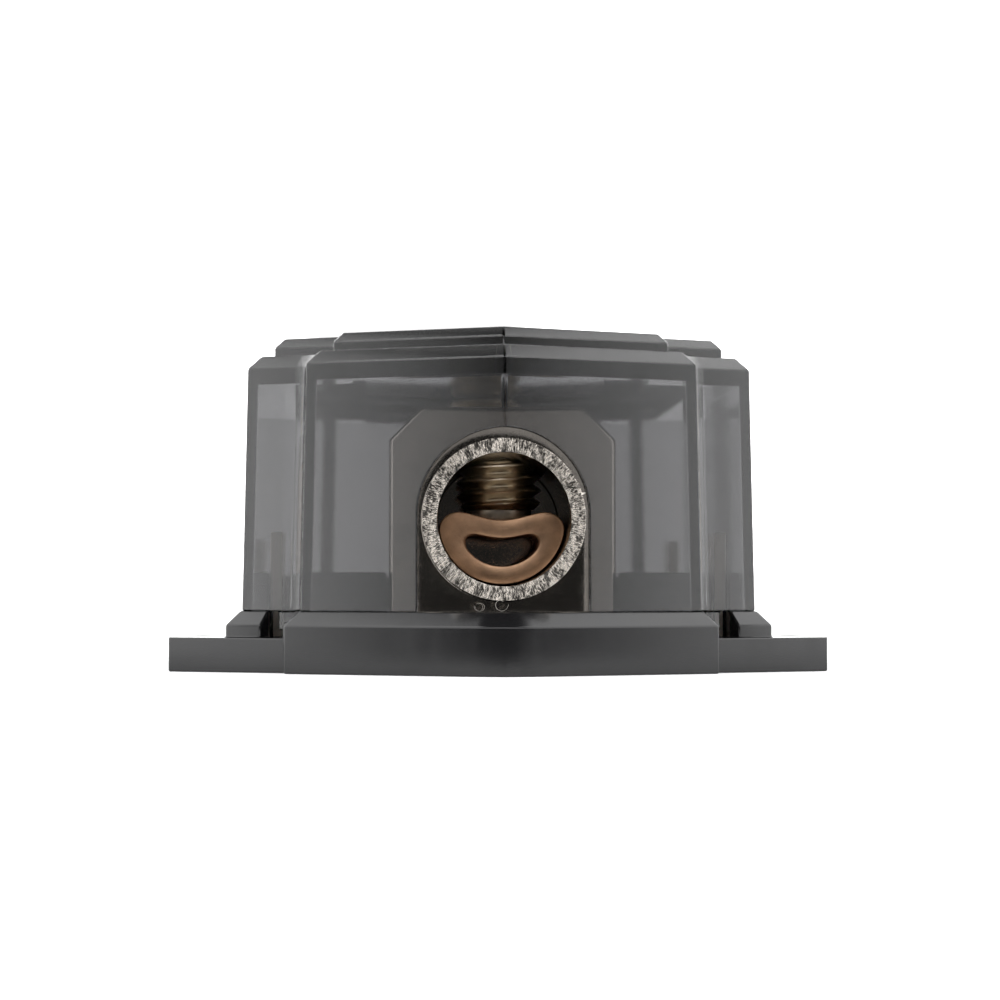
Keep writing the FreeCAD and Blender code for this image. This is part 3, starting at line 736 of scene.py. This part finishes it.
def swarf_tree(sizes, low, high, material):
    """Geometry nodes for curls of swarf strewn over a flat patch, from a fixed seed."""
    tree = bpy.data.node_groups.new("Swarf", "GeometryNodeTree")
    tree.interface.new_socket("Geometry", in_out="OUTPUT", socket_type="NodeSocketGeometry")
    named = {
        "Low Corner": low, "High Corner": high, "Curl Radius": sizes.swarf_curl,
        "Wire Radius": sizes.swarf_wire, "Count": sizes.swarf_count, "Seed": sizes.swarf_seed,
    }
    kinds = ("Vector", "Vector", "Float", "Float", "Int", "Int")
    for name, kind in zip(named, kinds):
        tree.interface.new_socket(name, in_out="INPUT", socket_type=f"NodeSocket{kind}")
    given = add(tree, "NodeGroupInput").outputs
    spot = add(tree, "FunctionNodeRandomValue",
               {0: given["Low Corner"], 1: given["High Corner"], "Seed": given["Seed"]},
               data_type="FLOAT_VECTOR").outputs[0]
    spots = add(tree, "GeometryNodePoints", {"Count": given["Count"], "Position": spot}).outputs[0]
    curl = add(tree, "GeometryNodeCurveSpiral", {
        "Resolution": 22, "Rotations": 0.85, "Start Radius": given["Curl Radius"],
        "End Radius": maths(tree, "MULTIPLY", given["Curl Radius"], 0.45),
        "Height": maths(tree, "MULTIPLY", given["Curl Radius"], 0.9)})
    ring = add(tree, "GeometryNodeCurvePrimitiveCircle",
               {"Resolution": 6, "Radius": given["Wire Radius"]})
    wire = add(tree, "GeometryNodeCurveToMesh", {
        "Curve": curl.outputs[0], "Profile Curve": ring.outputs[0], "Fill Caps": True})
    rest = maths(tree, "ADD", given["Curl Radius"], given["Wire Radius"])
    laid = add(tree, "GeometryNodeTransform", {
        "Geometry": wire.outputs[0], "Rotation": (math.pi / 2, 0.0, 0.0),
        "Translation": add(tree, "ShaderNodeCombineXYZ", {2: rest}).outputs[0]})
    heading = add(tree, "FunctionNodeRandomValue", {2: 0.0, 3: 2 * math.pi, "Seed": given["Seed"]},
                  data_type="FLOAT").outputs[1]
    scale = add(tree, "FunctionNodeRandomValue", {2: 0.55, 3: 1.15, "Seed": given["Seed"]},
                data_type="FLOAT").outputs[1]
    strewn = add(tree, "GeometryNodeInstanceOnPoints", {
        "Points": spots, "Instance": laid.outputs[0], "Scale": scale,
        "Rotation": add(tree, "ShaderNodeCombineXYZ", {2: heading}).outputs[0]})
    solid = add(tree, "GeometryNodeRealizeInstances", {0: strewn.outputs[0]})
    solid = add(tree, "GeometryNodeSetMaterial",
                {"Geometry": solid.outputs[0], "Material": material})
    add(tree, "NodeGroupOutput", {0: solid.outputs[0]})
    return tree, named


def burr_form(thick):
    """A sliver torn up from the right edge of the front barrel's mouth."""
    axis = barrel_axis()
    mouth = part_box("front_terminal_block")[0].y
    corners = 6
    form = bmesh.new()
    rings = []
    for out, ahead, share in BURR_STATIONS:
        middle = Vector((out * math.cos(BURR_ANGLE), mouth - ahead,
                         axis + out * math.sin(BURR_ANGLE)))
        ring = []
        for corner in range(corners):
            angle = 2 * math.pi * corner / corners
            edge = Vector((0.0, math.cos(angle), 2.2 * math.sin(angle))) * thick * share
            ring.append(form.verts.new(middle + edge))
        rings.append(ring)
    for ring, following in zip(rings, rings[1:]):
        for corner in range(corners):
            after = (corner + 1) % corners
            form.faces.new((ring[corner], ring[after], following[after], following[corner]))
    for ring in (rings[0], rings[-1]):
        form.faces.new(ring)
    bmesh.ops.recalc_face_normals(form, faces=form.faces)
    return form


class SHUNT_OT_make_swarf(bpy.types.Operator):
    """Make the curls of swarf under the front barrel and the burr on its edge"""

    bl_idname = "shunt.make_swarf"
    bl_label = "Swarf and burr"

    def execute(self, context):
        sizes = context.scene.shunt_sizes
        material = bpy.data.materials["steel_screw"]
        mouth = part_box("front_terminal_block")[0].y
        floor = rim_height()
        low = (SWARF_ACROSS[0], mouth - SWARF_AHEAD[0], floor)
        high = (SWARF_ACROSS[1], mouth - SWARF_AHEAD[1], floor)
        tree, named = swarf_tree(sizes, low, high, material)
        curls = run_tree("swarf_curls", tree, named, material)
        burr = piece_from_form("mouth_burr", burr_form(sizes.burr_thick), material)
        for piece in (curls, burr):
            smooth(piece)
            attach(piece, "root")
        return {"FINISHED"}


# ---------------------------------------------------------------- straps, screws and strips
class SHUNT_OT_make_straps(bpy.types.Operator):
    """Make the plated sense straps with their upright tabs"""

    bl_idname = "shunt.make_straps"
    bl_label = "Sense straps"

    def execute(self, context):
        sizes = context.scene.shunt_sizes
        material = nickel_strip(context.scene.shunt_finishes)
        for side in SIDES:
            finished_copy(f"{side}_sense_strap", f"{side}_tab_strap", "root",
                          material, sizes.metal_edge)
        return {"FINISHED"}


class SHUNT_OT_make_block_screws(bpy.types.Operator):
    """Make the countersunk screws under the blocks"""

    bl_idname = "shunt.make_block_screws"
    bl_label = "Block screws"

    def execute(self, context):
        sizes = context.scene.shunt_sizes
        material = zinc_screw(context.scene.shunt_finishes)
        for side in SIDES:
            finished_copy(f"{side}_block_screws", f"{side}_countersunk_screws", "root",
                          material, sizes.metal_edge)
        return {"FINISHED"}


class SHUNT_OT_make_strips(bpy.types.Operator):
    """Make the four resistance strips"""

    bl_idname = "shunt.make_strips"
    bl_label = "Resistance strips"

    def execute(self, context):
        sizes = context.scene.shunt_sizes
        material = manganin(context.scene.shunt_finishes)
        for node in sorted(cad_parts):
            if node.startswith("shunt_strip_"):
                finished_copy(node, node.replace("shunt", "alloy"), "root",
                              material, sizes.metal_edge)
        return {"FINISHED"}


# ---------------------------------------------------------------- studio
def studio_world():
    """Light by direction alone: tall soft walls at both sides, a bright back, a band high
    in front, and a dim camera side. The camera itself sees white, and rays that have
    passed the clear cover see at least a pale grey."""
    world = bpy.data.worlds.new("studio")
    world.use_nodes = True
    tree = world.node_tree
    place = add(tree, "ShaderNodeTexCoord").outputs["Generated"]
    parts = add(tree, "ShaderNodeSeparateXYZ", {0: place}).outputs
    across = maths(tree, "MAXIMUM", maths(tree, "ABSOLUTE", parts[0]), LEAST_DIVISOR)
    ahead = maths(tree, "DIVIDE", parts[1], across)
    climb = maths(tree, "DIVIDE", parts[2], across)
    shift = spread(tree, parts[0], -0.1, 0.1, 0.0, SIDE_SHIFT)
    turned = maths(tree, "SUBTRACT", ahead, shift)
    side = maths(tree, "MULTIPLY", spread(tree, turned, *SIDE_FADE),
                 spread(tree, climb, *SIDE_TOP_FADE, smooth=True))
    behind = spread(tree, parts[1], *BEHIND_FADE, smooth=True)
    toward = maths(tree, "MULTIPLY", parts[1], -1.0)
    toward = maths(tree, "MAXIMUM", toward, LEAST_DIVISOR)
    lift = maths(tree, "DIVIDE", parts[2], toward)
    above = maths(tree, "MULTIPLY", spread(tree, lift, *ABOVE_LOW_FADE, smooth=True),
                  spread(tree, lift, *ABOVE_HIGH_FADE, smooth=True))
    above = maths(tree, "MULTIPLY", above,
                  spread(tree, parts[1], *ABOVE_FRONT_FADE, smooth=True))
    lit = maths(tree, "MAXIMUM", maths(tree, "MULTIPLY", side, SIDE_LIGHT),
                maths(tree, "MULTIPLY", behind, BEHIND_LIGHT))
    lit = maths(tree, "MAXIMUM", lit, maths(tree, "MULTIPLY", above, ABOVE_LIGHT))
    light = maths(tree, "ADD", lit, LEAST_LIGHT)
    path = add(tree, "ShaderNodeLightPath").outputs
    front = spread(tree, parts[1], *FRONT_FADE)
    through = maths(tree, "MULTIPLY", maths(tree, "MULTIPLY", side, front), SIDE_LIGHT)
    through = maths(tree, "MAXIMUM", through, SEEN_THROUGH)
    light = spread(tree, path["Is Transmission Ray"], 0.0, 1.0, light, through)
    strength = maths(tree, "MAXIMUM", light, path["Is Camera Ray"])
    background = tree.nodes["Background"]
    background.inputs["Color"].default_value = (1.0, 1.0, 1.0, 1.0)
    tree.links.new(strength, background.inputs["Strength"])
    bpy.context.scene.world = world


def studio_floor():
    """A plain pale floor under the shunt, which glows a little."""
    mesh = bpy.data.meshes.new("floor")
    form = bmesh.new()
    bmesh.ops.create_grid(form, x_segments=1, y_segments=1, size=FLOOR_HALF)
    bmesh.ops.translate(form, verts=form.verts, vec=(0.0, FLOOR_HALF - FLOOR_AHEAD, 0.0))
    form.to_mesh(mesh)
    form.free()
    material, _, shader, _ = new_material("pale_floor")
    shader.inputs["Base Color"].default_value = FLOOR_COLOUR
    shader.inputs["Roughness"].default_value = 0.9
    shader.inputs["Specular IOR Level"].default_value = 0.1
    shader.inputs["Emission Color"].default_value = (1.0, 1.0, 1.0, 1.0)
    shader.inputs["Emission Strength"].default_value = FLOOR_GLOW
    floor = new_piece("floor", mesh, material)


def studio_camera():
    """A long lens, low in front of the front terminal and a touch to its left."""
    data = bpy.data.cameras.new("camera")
    data.sensor_width = SENSOR_WIDTH
    data.lens = LENS_LENGTH
    data.clip_start = 0.01
    data.clip_end = 20.0
    camera = bpy.data.objects.new("camera", data)
    bpy.context.scene.collection.objects.link(camera)
    camera.location = CAMERA_PLACE
    camera.rotation_euler = [math.radians(turn) for turn in CAMERA_DEGREES]
    bpy.context.scene.camera = camera


class SHUNT_OT_make_stage(bpy.types.Operator):
    """Set the floor, the soft studio light and the camera"""

    bl_idname = "shunt.make_stage"
    bl_label = "Stage"

    def execute(self, context):
        studio_world()
        studio_floor()
        studio_camera()
        context.scene.view_settings.view_transform = "Standard"
        return {"FINISHED"}


OPERATORS = (
    SHUNT_OT_make_base,
    SHUNT_OT_make_blocks,
    SHUNT_OT_make_set_screws,
    SHUNT_OT_make_tips,
    SHUNT_OT_make_swarf,
    SHUNT_OT_make_sleeve,
    SHUNT_OT_make_straps,
    SHUNT_OT_make_block_screws,
    SHUNT_OT_make_strips,
    SHUNT_OT_make_cover,
    SHUNT_OT_make_stage,
)


class VIEW3D_PT_shunt(bpy.types.Panel):
    """The shunt's sizes, finishes and pieces"""

    bl_idname = "VIEW3D_PT_shunt"
    bl_label = "Battery monitor shunt"
    bl_space_type = "VIEW_3D"
    bl_region_type = "UI"
    bl_category = "Shunt"

    def draw(self, context):
        column = self.layout.column()
        for group in (context.scene.shunt_sizes, context.scene.shunt_finishes):
            for name in group.__annotations__:
                column.prop(group, name)
        for operator in OPERATORS:
            column.operator(operator.bl_idname)


CLASSES = (ShuntSizes, ShuntFinishes, *OPERATORS, VIEW3D_PT_shunt)


def register():
    """Adds the classes and the scene's two groups of settings."""
    for kind in CLASSES:
        bpy.utils.register_class(kind)
    bpy.types.Scene.shunt_sizes = PointerProperty(type=ShuntSizes)
    bpy.types.Scene.shunt_finishes = PointerProperty(type=ShuntFinishes)


def unregister():
    """Takes the settings and the classes away again."""
    del bpy.types.Scene.shunt_finishes
    del bpy.types.Scene.shunt_sizes
    for kind in reversed(CLASSES):
        bpy.utils.unregister_class(kind)


def main():
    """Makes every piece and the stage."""
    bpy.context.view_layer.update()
    register()
    for operator in OPERATORS:
        family, name = operator.bl_idname.split(".")
        getattr(getattr(bpy.ops, family), name)()


if __name__ == "__main__":
    main()
